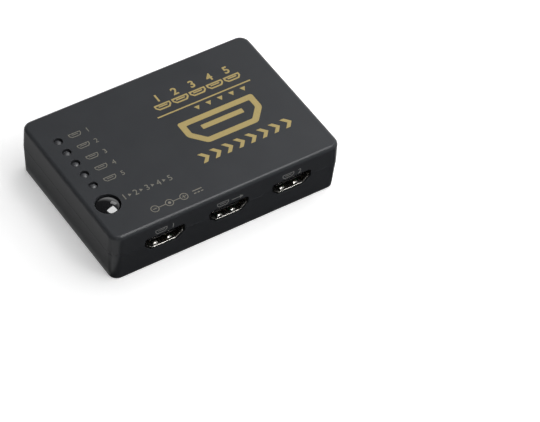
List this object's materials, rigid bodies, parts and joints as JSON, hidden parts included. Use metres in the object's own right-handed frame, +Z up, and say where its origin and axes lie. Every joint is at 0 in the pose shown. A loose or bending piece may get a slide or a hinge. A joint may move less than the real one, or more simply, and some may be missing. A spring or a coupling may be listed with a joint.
{
  "type": "hdmi switch box",
  "caption": "Low rectangular two-part plastic box that routes one of several digital video sockets to an output, with a push button and a row of indicator lamps.",
  "frame": {"origin": "centre of the flat underside", "axes": "+X along the length to the jack end, +Y to the back, +Z up"},
  "size_m": [0.09, 0.062, 0.0208],
  "materials": {
    "housing_plastic": "satin moulded charcoal plastic",
    "button_plastic": "polished black plastic",
    "lamp_lens": "milky grey lens",
    "socket_nickel": "nickel plated sheet",
    "socket_plastic": "black moulding",
    "contact_gold": "gold plated",
    "board_laminate": "green lacquered laminate",
    "switch_plastic": "black moulding",
    "jack_plastic": "black moulding",
    "chip_plastic": "black moulding",
    "chip_ceramic": "fired ceramic",
    "tinned_metal": "tinned",
    "can_metal": "drawn can",
    "screw_steel": "zinc plated steel"
  },
  "bodies": {
    "housing": {"top_cover": "housing_plastic", "bottom_cover": "housing_plastic", "main_board": "board_laminate", "housing_screws": "screw_steel", "switch_base": "switch_plastic", "switch_plate": "tinned_metal", "switch_dome": "contact_gold", "switch_legs": "tinned_metal", "lamp_leads": "tinned_metal", "power_jack": "jack_plastic", "power_jack_pin": "tinned_metal", "power_jack_spring": "tinned_metal", "remote_jack": "jack_plastic", "remote_jack_bush": "tinned_metal", "remote_jack_springs": "tinned_metal", "switch_chip": "chip_plastic", "switch_chip_leads": "tinned_metal", "controller_chip": "chip_plastic", "controller_chip_leads": "tinned_metal", "regulator": "chip_plastic", "regulator_leads": "tinned_metal", "crystal": "can_metal", "filter_capacitors": "can_metal", "chip_capacitors": "chip_ceramic", "chip_resistors": "chip_ceramic", "surge_arrays": "chip_plastic", "input_1_shell": "socket_nickel", "input_1_tongue": "socket_plastic", "input_1_contacts": "contact_gold", "output_shell": "socket_nickel", "output_tongue": "socket_plastic", "output_contacts": "contact_gold", "input_2_shell": "socket_nickel", "input_2_tongue": "socket_plastic", "input_2_contacts": "contact_gold", "input_3_shell": "socket_nickel", "input_3_tongue": "socket_plastic", "input_3_contacts": "contact_gold", "input_4_shell": "socket_nickel", "input_4_tongue": "socket_plastic", "input_4_contacts": "contact_gold", "input_5_shell": "socket_nickel", "input_5_tongue": "socket_plastic", "input_5_contacts": "contact_gold", "lamp_1": "lamp_lens", "lamp_2": "lamp_lens", "lamp_3": "lamp_lens", "lamp_4": "lamp_lens", "lamp_5": "lamp_lens"},
    "button": {"select_button": "button_plastic", "switch_plunger": "switch_plastic"}
  },
  "joints": [
    {"name": "select_press", "type": "slide", "parent": "housing", "child": "button", "axis": [0, 0, -1], "range_m": [0, 0.0003], "stiffness_N_per_m": 5000, "deforming": ["switch_dome"]}
  ]
}
